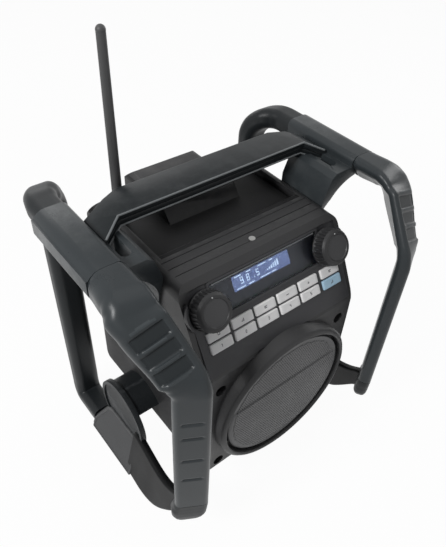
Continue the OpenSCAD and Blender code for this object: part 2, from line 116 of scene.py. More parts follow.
def makeWorld():
    world = bpy.data.worlds.new("studio")
    world.use_nodes = True
    tree = world.node_tree
    tree.nodes.clear()
    out = newNode(tree, "OutputWorld")
    lit = newNode(tree, "Background")
    seen = newNode(tree, "Background")
    mix = newNode(tree, "MixShader")
    lit.inputs["Color"].default_value = (*studioSet["worldTint"], 1)
    lit.inputs["Strength"].default_value = studioSet["worldLight"]
    seen.inputs["Color"].default_value = (1, 1, 1, 1)
    seen.inputs["Strength"].default_value = 1
    link(tree, whiteWhereSeen(tree), mix.inputs[0])
    link(tree, lit.outputs[0], mix.inputs[1])
    link(tree, seen.outputs[0], mix.inputs[2])
    link(tree, mix.outputs[0], out.inputs["Surface"])
    scene.world = world


def makeFloor():
    mesh = bpy.data.meshes.new("studioFloor")
    floor = bpy.data.objects.new("studioFloor", mesh)
    scene.collection.objects.link(floor)
    bm = bmesh.new()
    bmesh.ops.create_grid(bm, x_segments=8, y_segments=8, size=studioSet["floorReach"])
    bm.to_mesh(mesh)
    bm.free()
    floor.location.z = -studioSet["floorDrop"]
    mat = bpy.data.materials.new("paleFloor")
    mat.use_nodes = True
    tree = mat.node_tree
    tree.nodes.clear()
    out = newNode(tree, "OutputMaterial")
    diffuse = newNode(tree, "BsdfDiffuse")
    diffuse.inputs["Color"].default_value = (*studioSet["floorTint"], 1)
    glow = newNode(tree, "Emission")
    mix = newNode(tree, "MixShader")
    glow.inputs["Strength"].default_value = 1
    amount = newNode(tree, "Math")
    amount.operation = "MULTIPLY"
    amount.inputs[1].default_value = studioSet["floorWhite"]
    link(tree, whiteWhereSeen(tree), amount.inputs[0])
    link(tree, amount.outputs[0], mix.inputs[0])
    link(tree, diffuse.outputs[0], mix.inputs[1])
    link(tree, glow.outputs[0], mix.inputs[2])
    link(tree, mix.outputs[0], out.inputs["Surface"])
    mesh.materials.append(mat)


makeCamera()
makeLights()
makeWorld()
makeFloor()
scene.view_settings.view_transform = "Standard"
print("camera, light and floor are set")


def newGroup(name, ins, outs):
    group = bpy.data.node_groups.new(name, "ShaderNodeTree")
    for label, kind, value in ins:
        socket = group.interface.new_socket(name=label, in_out="INPUT", socket_type=kind)
        if value is not None:
            socket.default_value = value
    for label, kind in outs:
        group.interface.new_socket(name=label, in_out="OUTPUT", socket_type=kind)
    return group, group.nodes.new("NodeGroupInput"), group.nodes.new("NodeGroupOutput")


def mathNode(tree, operation, a, b=None, clamp=False):
    node = newNode(tree, "Math")
    node.operation = operation
    node.use_clamp = clamp
    for i, v in enumerate((a, b)):
        if v is None:
            continue
        if isinstance(v, (int, float)):
            node.inputs[i].default_value = v
        else:
            link(tree, v, node.inputs[i])
    return node.outputs[0]


def noiseNode(tree, vector, scale, detail=3.0, rough=0.55):
    node = newNode(tree, "TexNoise")
    node.inputs["Detail"].default_value = detail
    node.inputs["Roughness"].default_value = rough
    link(tree, vector, node.inputs["Vector"])
    if isinstance(scale, (int, float)):
        node.inputs["Scale"].default_value = scale
    else:
        link(tree, scale, node.inputs["Scale"])
    return node.outputs["Fac"]


def rampNode(tree, value, low, high, outLow=0.0, outHigh=1.0):
    node = newNode(tree, "MapRange")
    node.inputs["From Min"].default_value = low
    node.inputs["From Max"].default_value = high
    node.inputs["To Min"].default_value = outLow
    node.inputs["To Max"].default_value = outHigh
    link(tree, value, node.inputs["Value"])
    return node.outputs["Result"]


mixA, mixB, mixOut = 6, 7, 2   # sockets of a colour mix


def colourMix(tree):
    mix = newNode(tree, "Mix")
    mix.data_type = "RGBA"
    return mix


grainSet = {"detail": 4.0, "rough": 0.6, "pits": 0.55, "slowScale": 38.0, "speck": 0.12}
wearSet = {"edge": (0.53, 0.62), "patch": (0.4, 0.68),      # noises as scale, detail and roughness
           "patchNoise": (85.0, 5.0, 0.65), "mottleNoise": (24.0, 5.0, 0.6)}


def makeGrainGroup():
    # small moulded pits and a slow change of gloss
    group, gin, gout = newGroup("mouldedGrain", [
        ("Vector", "NodeSocketVector", None), ("Scale", "NodeSocketFloat", 900.0),
        ("Roughness", "NodeSocketFloat", 0.5), ("Spread", "NodeSocketFloat", 0.12)],
        [("Height", "NodeSocketFloat"), ("Roughness", "NodeSocketFloat")])
    fine = noiseNode(group, gin.outputs["Vector"], gin.outputs["Scale"], grainSet["detail"], grainSet["rough"])
    cells = newNode(group, "TexVoronoi")
    link(group, gin.outputs["Vector"], cells.inputs["Vector"])
    link(group, gin.outputs["Scale"], cells.inputs["Scale"])
    pits = mathNode(group, "MULTIPLY", cells.outputs["Distance"], grainSet["pits"])
    link(group, mathNode(group, "ADD", fine, pits), gout.inputs["Height"])
    slow = noiseNode(group, gin.outputs["Vector"], grainSet["slowScale"], grainSet["detail"])
    swing = mathNode(group, "MULTIPLY", mathNode(group, "SUBTRACT", slow, 0.5), gin.outputs["Spread"])
    speck = mathNode(group, "MULTIPLY", mathNode(group, "SUBTRACT", fine, 0.5), grainSet["speck"])
    total = mathNode(group, "ADD", mathNode(group, "ADD", gin.outputs["Roughness"], swing), speck, True)
    link(group, total, gout.inputs["Roughness"])
    return group


def makeWearGroup():
    # edges rubbed a little paler, broken up by noise
    group, gin, gout = newGroup("rubbedEdges", [
        ("Vector", "NodeSocketVector", None), ("Base", "NodeSocketColor", (0.1, 0.1, 0.1, 1)),
        ("Rubbed", "NodeSocketColor", (0.3, 0.3, 0.3, 1)), ("Amount", "NodeSocketFloat", 0.4),
        ("Mottle", "NodeSocketFloat", 0.1)],
        [("Color", "NodeSocketColor"), ("Mask", "NodeSocketFloat")])
    geometry = newNode(group, "NewGeometry")
    edge = rampNode(group, geometry.outputs["Pointiness"], *wearSet["edge"])
    spots = noiseNode(group, gin.outputs["Vector"], *wearSet["patchNoise"])
    patch = rampNode(group, spots, *wearSet["patch"])
    mask = mathNode(group, "MULTIPLY", mathNode(group, "MULTIPLY", edge, patch), gin.outputs["Amount"], True)
    mottle = noiseNode(group, gin.outputs["Vector"], *wearSet["mottleNoise"])
    shade = mathNode(group, "ADD", 1.0, mathNode(
        group, "MULTIPLY", mathNode(group, "SUBTRACT", mottle, 0.5), gin.outputs["Mottle"]))
    tint = newNode(group, "VectorMath")
    tint.operation = "SCALE"
    link(group, gin.outputs["Base"], tint.inputs[0])
    link(group, shade, tint.inputs["Scale"])
    mix = colourMix(group)
    link(group, mask, mix.inputs["Factor"])
    link(group, tint.outputs[0], mix.inputs[mixA])
    link(group, gin.outputs["Rubbed"], mix.inputs[mixB])
    link(group, mix.outputs[mixOut], gout.inputs["Color"])
    link(group, mask, gout.inputs["Mask"])
    return group


grainGroup = makeGrainGroup()
wearGroup = makeWearGroup()

# base and rubbed colour, wear, roughness, grain scale, bump, metal and shine of each finish
finishSet = {
    "housing": dict(base=(0.02, 0.02, 0.021), rubbed=(0.07, 0.07, 0.07), wear=0.5, rough=0.45, grain=1300,
                    bump=0.1, shine=0.35),
    "housingDark": dict(base=(0.01, 0.01, 0.011), rubbed=(0.05, 0.05, 0.05), wear=0.4, rough=0.46,
                        grain=1500, bump=0.08, shine=0.25),
    "topCover": dict(base=(0.009, 0.009, 0.0095), rubbed=(0.03, 0.03, 0.03), wear=0.2, rough=0.6, grain=1500,
                     bump=0.1, shine=0.15),
    "panel": dict(base=(0.03, 0.03, 0.033), rubbed=(0.08, 0.08, 0.08), wear=0.3, rough=0.44, grain=1700,
                  bump=0.06, shine=0.3),
    "lamp": dict(base=(0.32, 0.32, 0.31), rubbed=(0.8, 0.8, 0.8), wear=0.0, rough=0.3, grain=900, bump=0.02),
    "board": dict(base=(0.02, 0.12, 0.05), rubbed=(0.3, 0.25, 0.1), wear=0.2, rough=0.4, grain=500, bump=0.1),
    "rubberBlack": dict(base=(0.05, 0.05, 0.051), rubbed=(0.04, 0.04, 0.04), wear=0.4, rough=0.5, grain=1100,
                        bump=0.12, shine=0.45),
    "keyRubber": dict(base=(0.8, 0.79, 0.785), rubbed=(0.72, 0.72, 0.72), wear=0.3, rough=0.5, grain=1600,
                      bump=0.06),
    "keyBlue": dict(base=(0.38, 0.56, 0.7), rubbed=(0.5, 0.62, 0.7), wear=0.3, rough=0.5, grain=1600,
                    bump=0.06),
    "knobRubber": dict(base=(0.014, 0.014, 0.015), rubbed=(0.07, 0.07, 0.07), wear=0.5, rough=0.5, grain=1200,
                       bump=0.12, shine=0.35),
    "knobFace": dict(base=(0.034, 0.034, 0.036), rubbed=(0.1, 0.1, 0.1), wear=0.4, rough=0.38, grain=1800,
                     bump=0.04, shine=0.35),
    "steel": dict(base=(0.55, 0.55, 0.56), rubbed=(0.7, 0.7, 0.7), wear=0.2, rough=0.3, grain=700, bump=0.04,
                  metal=1.0),
    "screwZinc": dict(base=(0.16, 0.16, 0.17), rubbed=(0.4, 0.4, 0.4), wear=0.6, rough=0.36, grain=700,
                      bump=0.05, metal=1.0),
    "grilleCoat": dict(base=(0.052, 0.052, 0.054), rubbed=(0.2, 0.2, 0.2), wear=0.4, rough=0.42, grain=2200,
                       bump=0.07, shine=0.4),
    "basketSteel": dict(base=(0.03, 0.03, 0.03), rubbed=(0.2, 0.2, 0.2), wear=0.3, rough=0.4, grain=900,
                        bump=0.05, metal=0.6),
    "conePaper": dict(base=(0.02, 0.02, 0.02), rubbed=(0.05, 0.05, 0.05), wear=0.1, rough=0.8, grain=700,
                      bump=0.35, shine=0.2),
    "cageRubber": dict(base=(0.029, 0.034, 0.037), rubbed=(0.19, 0.2, 0.2), wear=0.25, rough=0.31,
                       grain=1300, bump=0.1, shine=0.22),
    # painted shade: a darker copy of the cage rubber for the sunk finger panels and grooves
    "gripPanel": dict(base=(0.016, 0.0195, 0.0215), rubbed=(0.1, 0.105, 0.11), wear=0.2, rough=0.38,
                      grain=1100, bump=0.16, shine=0.2),
    # painted highlight: a paler copy of the cage rubber for the raised ridges between the finger panels
    "gripRidge": dict(base=(0.046, 0.053, 0.057), rubbed=(0.2, 0.21, 0.21), wear=0.05, rough=0.4, grain=1300,
                      bump=0.1, shine=0.2),
    "handleRubber": dict(base=(0.012, 0.0145, 0.016), rubbed=(0.12, 0.125, 0.13), wear=0.6, rough=0.36,
                         grain=1300, bump=0.1, shine=0.16),
    "cageDark": dict(base=(0.013, 0.015, 0.0165), rubbed=(0.1, 0.105, 0.11), wear=0.6, rough=0.38, grain=1300,
                     bump=0.12, shine=0.2),
    "railDark": dict(base=(0.004, 0.0043, 0.0046), rubbed=(0.08, 0.08, 0.08), wear=0.6, rough=0.42, grain=1300,
                     bump=0.12, shine=0.12),
    "plateGrey": dict(base=(0.036, 0.037, 0.039), rubbed=(0.16, 0.16, 0.16), wear=0.6, rough=0.42, grain=500,
                      bump=0.3, shine=0.35),
    # painted highlight: a pale finish for beads that stand in for highlight lines along edges
    "edgeBead": dict(base=(0.12, 0.13, 0.135), rubbed=(0.25, 0.26, 0.26), wear=0.5, rough=0.34, grain=1200,
                     bump=0.08, shine=0.5),
    "maskBlack": dict(base=(0.01, 0.012, 0.014), rubbed=(0.02, 0.02, 0.02), wear=0.0, rough=0.5, grain=300,
                      bump=0.01, shine=0.2),
    "printDark": dict(base=(0.06, 0.06, 0.07), rubbed=(0.1, 0.1, 0.1), wear=0.0, rough=0.6, grain=2000,
                      bump=0.02),
    "printPale": dict(base=(0.5, 0.5, 0.5), rubbed=(0.5, 0.5, 0.5), wear=0.0, rough=0.5, grain=2000,
                      bump=0.02),
}
finishCommon = {"mottle": 0.28, "spread": 0.16, "bumpDepth": 0.0003}


def newMaterial(name):
    mat = bpy.data.materials.new(name)
    mat.use_nodes = True
    tree = mat.node_tree
    place = newNode(tree, "TexCoord").outputs["Object"]
    return mat, tree, tree.nodes["Principled BSDF"], place


def makeFinish(name, base, rubbed, wear, rough, grain, bump, metal=0.0, shine=0.5):
    mat, tree, shader, place = newMaterial(name)
    worn = newNode(tree, "Group")
    worn.node_tree = wearGroup
    worn.inputs["Base"].default_value = (*base, 1)
    worn.inputs["Rubbed"].default_value = (*rubbed, 1)
    worn.inputs["Amount"].default_value = wear
    worn.inputs["Mottle"].default_value = finishCommon["mottle"]
    moulded = newNode(tree, "Group")
    moulded.node_tree = grainGroup
    moulded.inputs["Scale"].default_value = grain
    moulded.inputs["Roughness"].default_value = rough
    moulded.inputs["Spread"].default_value = finishCommon["spread"]
    for group in (worn, moulded):
        link(tree, place, group.inputs["Vector"])
    bumpNode = newNode(tree, "Bump")
    bumpNode.inputs["Strength"].default_value = bump
    bumpNode.inputs["Distance"].default_value = finishCommon["bumpDepth"]
    link(tree, moulded.outputs["Height"], bumpNode.inputs["Height"])
    link(tree, bumpNode.outputs["Normal"], shader.inputs["Normal"])
    link(tree, worn.outputs["Color"], shader.inputs["Base Color"])
    link(tree, moulded.outputs["Roughness"], shader.inputs["Roughness"])
    shader.inputs["Metallic"].default_value = metal
    shader.inputs["Specular IOR Level"].default_value = shine
    return mat


finish = {name: makeFinish(name, **values) for name, values in finishSet.items()}

glassSet = {"rough": (0.28, 0.34), "smearScale": 60.0, "smearDetail": 4.0, "smear": (0.35, 0.75),
            "tintScale": 30.0, "ior": 1.3, "tint": ((0.62, 0.66, 0.76), (0.68, 0.72, 0.82))}


def makeGlass():
    # smoked window: clear enough for the display, its gloss a little smeared
    mat, tree, shader, place = newMaterial("smokedGlass")
    smear = noiseNode(tree, place, glassSet["smearScale"], glassSet["smearDetail"])
    link(tree, rampNode(tree, smear, *glassSet["smear"], *glassSet["rough"]), shader.inputs["Roughness"])
    tint = colourMix(tree)
    for socket, colour in zip((mixA, mixB), glassSet["tint"]):
        tint.inputs[socket].default_value = (*colour, 1)
    link(tree, noiseNode(tree, place, glassSet["tintScale"]), tint.inputs["Factor"])
    link(tree, tint.outputs[mixOut], shader.inputs["Base Color"])
    shader.inputs["Transmission Weight"].default_value = 1.0
    shader.inputs["IOR"].default_value = glassSet["ior"]
    return mat


glowSet = {"screenBlue": dict(low=(0.06, 0.08, 0.17), high=(0.13, 0.17, 0.28), strength=1.0, scale=45.0),
           "screenPale": dict(low=(0.40, 0.50, 0.58), high=(0.60, 0.72, 0.80), strength=1.1, scale=200.0)}
glowCommon = {"patch": (0.3, 0.7), "glossScale": 300.0, "gloss": (0.35, 0.5)}


def makeGlow(name, low, high, strength, scale):
    # a backlit surface, uneven from place to place
    mat, tree, shader, place = newMaterial(name)
    mix = colourMix(tree)
    mix.inputs[mixA].default_value = (*low, 1)
    mix.inputs[mixB].default_value = (*high, 1)
    link(tree, rampNode(tree, noiseNode(tree, place, scale), *glowCommon["patch"]), mix.inputs["Factor"])
    link(tree, mix.outputs[mixOut], shader.inputs["Base Color"])
    link(tree, mix.outputs[mixOut], shader.inputs["Emission Color"])
    dull = noiseNode(tree, place, glowCommon["glossScale"])
    link(tree, rampNode(tree, dull, *glowCommon["patch"], *glowCommon["gloss"]), shader.inputs["Roughness"])
    shader.inputs["Emission Strength"].default_value = strength
    return mat


finish["glass"] = makeGlass()
for name, values in glowSet.items():
    finish[name] = makeGlow(name, **values)
print("materials are made")

# slot of the record -> finish
slotFinish = {
    "housing": "housing", "housing_dark": "housingDark", "panel": "panel", "display_glass": "glass",
    "display_lit": "screenBlue", "lamp": "lamp", "board": "board", "rubber_black": "rubberBlack",
    "keys_grey": "keyRubber", "key_blue": "keyBlue", "knob": "knobRubber", "steel": "steel",
    "screws": "screwZinc", "grille": "grilleCoat", "frame_metal": "basketSteel", "cone": "conePaper",
    "cage_rubber": "cageRubber", "cage_dark": "cageDark"}
nodeSlot = {s["node"]: s["material_slot"] for s in frame["record"]["subparts"]}
for name, obj in nodes.items():
    obj.data.materials.clear()
    obj.data.materials.append(finish[slotFinish[nodeSlot[name]]])
bodyOf = {n: b for b, members in frame["record"]["behaviour"]["bodies"].items() for n in members}


def addPiece(name, bm, mats, standsFor, smoothAngle=35, extra=False):
    # a bmesh in metres becomes a piece that rides with its CAD nodes and, unless it is extra, replaces them
    mesh = bpy.data.meshes.new(name)
    bmesh.ops.recalc_face_normals(bm, faces=bm.faces)
    bm.to_mesh(mesh)
    bm.free()
    for m in mats:
        mesh.materials.append(finish[m])
    mesh.shade_smooth()
    mesh.set_sharp_from_angle(angle=math.radians(smoothAngle))
    piece = bpy.data.objects.new(name, mesh)
    scene.collection.objects.link(piece)
    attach(piece, bodyOf[standsFor[0]])
    if not extra:
        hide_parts(*standsFor)
    return piece


def bridge(bm, rings):
    # faces between each ring and the next
    for a, b in zip(rings, rings[1:]):
        for i in range(len(a)):
            j = (i + 1) % len(a)
            bm.faces.new((a[i], a[j], b[j], b[i]))


deckSet = {"halfWidth": 0.0625, "front": 0.0055, "back": 0.0285, "top": 0.255}
softSet = {   # piece and width of its rounded edges
    "front_cabinet": ("frontCabinetShell", 1.6), "rear_cabinet": ("rearCabinetShell", 1.6),
    "top_cover": ("topCoverShell", 0.8), "battery_hood": ("batteryHoodShell", 2.2),
    "control_panel": ("controlFace", 0.35),
    "handle_bar": ("handleGrip", 1.7), "handle_under": ("handleLiner", 1.2),
    "battery_door": ("batteryDoorLeaf", 0.5), "door_latch": ("doorLatchKnob", 0.5),
    "socket_cover": ("inletCap", 0.3), "antenna_base": ("antennaCollar", 0.6),
    "left_top_beam": ("leftTopBeam", 1.2), "right_top_beam": ("rightTopBeam", 1.2),
    "left_foot_block": ("leftFootBlock", 1.2), "right_foot_block": ("rightFootBlock", 1.2),
}
softFinish = {"top_cover": "topCover", "handle_bar": "handleRubber", "handle_under": "handleRubber",
              "battery_hood": "housingDark"}
softCommon = {"sharp": 28, "segments": 3, "flat": 0.6, "weld": 2e-6, "thin": 1e-6, "room": 2.3,
              "shortest": 0.25}


def faceWidth(face, edge):
    # how far the face reaches from one of its edges
    a, b = (v.co for v in edge.verts)
    along = (b - a).normalized()
    return max((v.co - a - along * (v.co - a).dot(along)).length for v in face.verts)


def softCopy(node, width):
    # the node's own shape with its long edges rounded over, as a moulding has them
    s = softCommon
    bm = bmesh.new()
    bm.from_mesh(nodes[node].data)
    if node == "top_cover":               # the deck is plain between its frame and the hood
        for v in bm.verts:
            if abs(v.co.x) < deckSet["halfWidth"] and deckSet["front"] < v.co.y < deckSet["back"]:
                v.co.z = min(v.co.z, deckSet["top"])
        bmesh.ops.remove_doubles(bm, verts=bm.verts, dist=s["weld"])
        bmesh.ops.dissolve_degenerate(bm, dist=s["thin"], edges=bm.edges)
    bmesh.ops.remove_doubles(bm, verts=bm.verts, dist=s["weld"])
    bmesh.ops.dissolve_limit(bm, angle_limit=math.radians(s["flat"]), verts=bm.verts, edges=bm.edges)
    limit = math.radians(s["sharp"])

    def crisp(e):
        return len(e.link_faces) == 2 and e.calc_face_angle(0) > limit

    room = width * mm * s["room"]         # an edge is rounded only where the faces beside it are wide enough
    chosen = []
    for e in bm.edges:
        if not crisp(e):
            continue
        near = [f for v in e.verts for f in v.link_edges if f is not e and not crisp(f)]
        if all(f.calc_length() > room for f in near) and e.calc_length() > room * s["shortest"]:
            if all(faceWidth(f, e) > room for f in e.link_faces):
                chosen.append(e)
    if chosen:
        bmesh.ops.bevel(bm, geom=chosen, offset=width * mm, offset_type="OFFSET", segments=s["segments"],
                        profile=0.5, affect="EDGES", clamp_overlap=True)
    return bm


for node, (name, width) in softSet.items():
    mats = [softFinish.get(node, slotFinish[nodeSlot[node]])]
    shell = addPiece(name, softCopy(node, width), mats, [node])
    if node in ("front_cabinet", "rear_cabinet"):      # flat walls stay flat beside their round edges
        even = shell.modifiers.new("evenShading", "WEIGHTED_NORMAL")
        even.keep_sharp = True
print("moulded shells are made")


loopSet = {"ringPoints": 84, "densePoints": 240, "smooth": 50, "sunkFrom": 0.75, "raisedFrom": 0.1}
reliefSet = {   # a pair is where a fade starts and ends
    "face": (-3.2, -0.6), "reach": 6, "middle": -4.5, "panelLowest": 246, "panels": (0.02, 0.36, 0.70),
    "panelDepth": 1.9, "panelStart": (-0.2, 0.9), "panelEnd": (10.1, 11.2), "panelSides": (11.6, 14.6),
    "ridges": (-0.045, 0.30, 0.64, 0.98), "ridgeRise": 0.5, "ridgeFade": (0.3, 1.3), "ridgeSides": (5.0, 12.0),
    "grooves": (201.5, 183, 152, 123), "grooveHighest": 235, "grooveDepth": 1.1, "grooveFade": (0.5, 1.9),
    "grooveSides": (6.2, 9.6)}
beamSection = [(-3, -12, 12), (9, -6, 6), (9, -8, 5), (-7, -17, 8)]
gripSection = [(-12, -11, 11), (10.5, -3.5, 3.5), (10.5, -5, 3.5), (-14, -18, 8)]
armSection = [(-9.5, -5, 5), (9.5, -5, 5), (9.5, -8, 5), (-9.5, -8, 5)]
rearSection = [(-5, -8, 8), (5, -8, 8), (5, -12, 8), (-5, -12, 8)]


def mixed(a, b, t):
    return [tuple(p * (1 - t) + q * t for p, q in zip(c, d)) for c, d in zip(a, b)]


def scaled(a, k):
    return [tuple(v * k for v in c) for c in a]


gripRows = [  # place, direction, roll, section
    ((-130, -28, 298), (0, -1, 0), 0, scaled(beamSection, 0.93)),
    ((-130, -29.4, 298), (0, -1, 0), 0, scaled(beamSection, 0.95)),
    ((-130, -30.4, 298), (0, -1, 0), 0, beamSection),
    ((-130, -48, 298), (0, -1, 0), 0, mixed(beamSection, gripSection, 0.2)),
    ((-129.5, -59, 296), (0, -0.94, -0.35), 5, mixed(beamSection, gripSection, 0.6)),
    ((-129, -68, 290.5), (0.03, -0.75, -0.66), 9, gripSection),
    ((-127.5, -78, 283.8), (0.19, -0.62, -0.76), 14, gripSection),
    ((-119.5, -104, 252), (0.19, -0.62, -0.76), 20, mixed(gripSection, armSection, 0.35)),
    ((-118.4, -108.6, 243), (0.12, -0.3, -0.94), 25, mixed(gripSection, armSection, 0.7)),
    ((-117.7, -110.5, 230), (0, 0, -1), 30, armSection),
    ((-117.7, -110.5, 76.3), (0, 0, -1), 30, armSection)]
capRows = [
    ((-117.7, -110.5, 75.7), (0, 0, -1), 30, armSection),
    ((-118.2, -110.0, 71), (0, 0, -1), 30, scaled(armSection, 1.05)),
    ((-119.2, -109.2, 63), (0, 0, -1), 30, scaled(armSection, 1.1)),
    ((-119.2, -108.8, 56.5), (0, 0, -1), 30, scaled(armSection, 1.07)),
    ((-118.9, -108.0, 51), (0, 0, -1), 30, scaled(armSection, 0.92)),
    ((-118.6, -107.0, 47.3), (0, 0, -1), 30, scaled(armSection, 0.7)),
    ((-118.4, -106.4, 45.6), (0, 0, -1), 30, scaled(armSection, 0.48))]
rearRows = [
    ((-112, 60.1, 0), (0, 1, 0), 0, rearSection),
    ((-112, 90, 0), (0, 1, 0), 0, rearSection),
    ((-112, 101.5, 3.8), (0, 0.78, 0.62), 0, rearSection),
    ((-111.6, 109.5, 16), (0, 0.2, 0.98), 0, rearSection),
    ((-111.2, 111, 34), (0, 0, 1), 0, rearSection),
    ((-111, 111.5, 262), (0, 0, 1), 0, rearSection),
    ((-113, 109, 276), (-0.2, -0.35, 0.92), 0, rearSection),
    ((-119, 98, 290.5), (-0.3, -0.75, 0.6), 0, rearSection),
    ((-126, 82, 296.6), (-0.15, -0.97, 0.2), 0, rearSection),
    ((-128, 70, 297), (0, -1, 0), 0, rearSection),
    ((-128, 55.2, 297), (0, -1, 0), 0, rearSection)]
gripA, gripB = Vector((-127.5, -78, 283.8)), Vector((-119.5, -104, 252))


def smoothStep(a, b, x):
    t = max(0.0, min(1.0, (x - a) / (b - a)))
    return t * t * (3 - 2 * t)


def outline(circles, count):
    # the tight outline round the circles, as evenly spaced points
    dense = []
    for i in range(loopSet["densePoints"]):
        a = 2 * math.pi * i / loopSet["densePoints"]
        u = Vector((math.cos(a), math.sin(a)))
        best = max(circles, key=lambda c: c[0] * u.x + c[1] * u.y + c[2])
        dense.append(Vector((best[0], best[1])) + u * best[2])
    lengths = [0.0]
    for a, b in zip(dense, dense[1:] + dense[:1]):
        lengths.append(lengths[-1] + (b - a).length)
    points, k = [], 0
    for i in range(count):
        want = lengths[-1] * i / count
        while lengths[k + 1] < want:
            k += 1
        t = (want - lengths[k]) / max(lengths[k + 1] - lengths[k], 1e-9)
        points.append(dense[k].lerp(dense[(k + 1) % len(dense)], t))
    return points


def denseRows(rows, step):
    # more rows between the given ones, on a curve that stays straight between equal directions
    out = []
    for a, b in zip(rows, rows[1:]):
        pa, pb = Vector(a[0]), Vector(b[0])
        da, db = Vector(a[1]).normalized(), Vector(b[1]).normalized()
        span = (pb - pa).length
        count = max(1, int(span / step))
        for i in range(count):
            t = i / count
            h = (2 * t**3 - 3 * t**2 + 1, t**3 - 2 * t**2 + t, -2 * t**3 + 3 * t**2, t**3 - t**2)
            p = pa * h[0] + da * span * h[1] + pb * h[2] + db * span * h[3]
            e = smoothStep(0, 1, t)
            out.append((p, da.lerp(db, t).normalized(), a[2] * (1 - e) + b[2] * e, mixed(a[3], b[3], e)))
    last = rows[-1]
    out.append((Vector(last[0]), Vector(last[1]).normalized(), last[2], last[3]))
    return out


def loft(rows, step, side, relief=None):
    # a closed skin through the rows' sections, with the relief pressed into it
    bm = bmesh.new()
    rings = []
    depths = []
    count = loopSet["ringPoints"]
    for p, d, roll, section in denseRows(rows, step):
        w = (Vector((1, 0, 0)) - d * d.x).normalized()
        v = d.cross(w)
        c, s = math.cos(math.radians(roll)), math.sin(math.radians(roll))
        ring = []
        depths.append([])
        for q in outline(section, count):
            q = q.copy()
            depths[-1].append(relief(p, q) if relief else 0.0)
            q.y -= depths[-1][-1]
            at = p + w * (q.x * c - q.y * s) + v * (q.x * s + q.y * c)
            ring.append(bm.verts.new((at.x * side * mm, at.y * mm, at.z * mm)))
        rings.append(ring)
    for row, (a, b) in enumerate(zip(rings, rings[1:])):
        for i in range(count):
            j = (i + 1) % count
            face = bm.faces.new((a[i], a[j], b[j], b[i]))
            depth = (depths[row][i] + depths[row][j] + depths[row + 1][i] + depths[row + 1][j]) / 4
            # faces sunk deeper than sunkFrom take the darker second finish, painted shade in the recesses
            if depth > loopSet["sunkFrom"]:
                face.material_index = 1
            # faces raised more than raisedFrom take the paler third finish, a painted highlight on the ridges
            elif depth < -loopSet["raisedFrom"]:
                face.material_index = 2
    for ring, flip in ((rings[0], True), (rings[-1], False)):
        bm.faces.new(ring[::-1] if flip else ring)
    return bm


def gripRelief(p, q):
    # how deep the finger panels and short grooves lie at a point of the outer face; below 0 on the ridges
    s = reliefSet
    onFace = smoothStep(*s["face"], q.y)
    if onFace <= 0:
        return 0.0
    axis = (gripB - gripA).normalized()
    run = (p - gripA).dot(axis)
    span = (gripB - gripA).length
    deep = 0.0
    if -s["reach"] < run < span + s["reach"] and p.z > s["panelLowest"]:
        away = abs(q.x - s["middle"])
        across = 1 - smoothStep(*s["panelSides"], away)
        for t in s["panels"]:
            start = smoothStep(*(t * span + edge for edge in s["panelStart"]), run)
            end = 1 - smoothStep(*(t * span + edge for edge in s["panelEnd"]), run)
            deep = max(deep, s["panelDepth"] * start * end * across)
        for t in s["ridges"]:
            rise = s["ridgeRise"] * (1 - smoothStep(*s["ridgeFade"], abs(run - t * span)))
            rise *= 1 - smoothStep(*s["ridgeSides"], away)
            deep -= rise
    if p.z < s["grooveHighest"]:
        across = 1 - smoothStep(*s["grooveSides"], abs(q.x))
        for z in s["grooves"]:
            deep = max(deep, s["grooveDepth"] * (1 - smoothStep(*s["grooveFade"], abs(p.z - z))) * across)
    return deep * onFace


railSet = {"round": 3.0, "thick": 9.5, "taper": 1.5, "step": 2.0, "blend": (-6, -3, 0, 3, 6)}
railStations = [  # y, lowest and highest z, outer x at the bottom and at the top
    (-8.5, 0, 57, -126.6, -114.5), (-22, 0, 57, -127.6, -116), (-38, 0, 57, -128.6, -118),
    (-53, 0.4, 56, -127.8, -119.5), (-64, 6.4, 56, -126.8, -120.3), (-76, 20, 59, -125.6, -120.8),
    (-88, 36, 66, -124, -120.5), (-98, 50, 75, -121.5, -119.5), (-104, 53, 74, -119.5, -118.5)]
plateSet = {"outline": [(-15.5, 1.0), (59, 1.0), (59, 13.5), (45.5, 38.8), (38, 44.5), (-17, 44.5)],
            "slope": [(1.0, -126.9), (5, -127), (40, -112), (44.5, -111.8)],
            "levels": [(0.0, 0.6), (0.0, -1.2), (0.8, -1.9), (3.4, -1.9), (4.2, -1.2)]}


def betweenPoints(points, at):
    # the value at a place between (place, value) points
    for (a, va), (b, vb) in zip(points, points[1:]):
        if at <= b:
            break
    return va + (vb - va) * max(0.0, min(1.0, (at - a) / (b - a)))


def makeRail(sign):
    # a leaning blade that follows the foot plate's slope and turns upright at the cap
    r, thick = railSet["round"], railSet["thick"]
    columns = [[(-station[0], station[k]) for station in railStations] for k in range(1, 5)]
    first, last = columns[0][0][0], columns[0][-1][0]
    count = int((last - first) / railSet["step"])
    rows = []
    for i in range(count + 1):
        run = first + (last - first) * i / count
        low, high, outLow, outHigh = (
            sum(betweenPoints(column, run + shift) for shift in railSet["blend"]) / len(railSet["blend"])
            for column in columns)
        section = [(outLow + r, low + r, r), (outLow + thick - r, low + r, r),
                   (outHigh + thick - r - railSet["taper"], high - r, r), (outHigh + r, high - r, r)]
        rows.append(((0, -run, 0), (0, -1, 0), 0, section))
    return loft(rows, railSet["step"], sign)


def makeFootPlate(sign):
    # cover plate on the sloped foot block, with a raised border
    outline2d = [Vector(p) for p in plateSet["outline"]]
    middle = sum(outline2d, Vector((0, 0))) / len(outline2d)
    bm = bmesh.new()
    rings = []
    for inset, rise in plateSet["levels"]:
        ring = []
        for p in outline2d:
            away = p - middle
            q = middle + away * (1 - inset / away.length)
            x = betweenPoints(plateSet["slope"], q.y) + rise
            ring.append(bm.verts.new((x * sign * mm, q.x * mm, q.y * mm)))
        rings.append(ring)
    bridge(bm, rings)
    bm.faces.new(rings[-1])
    bm.faces.new(rings[0][::-1])
    return bm


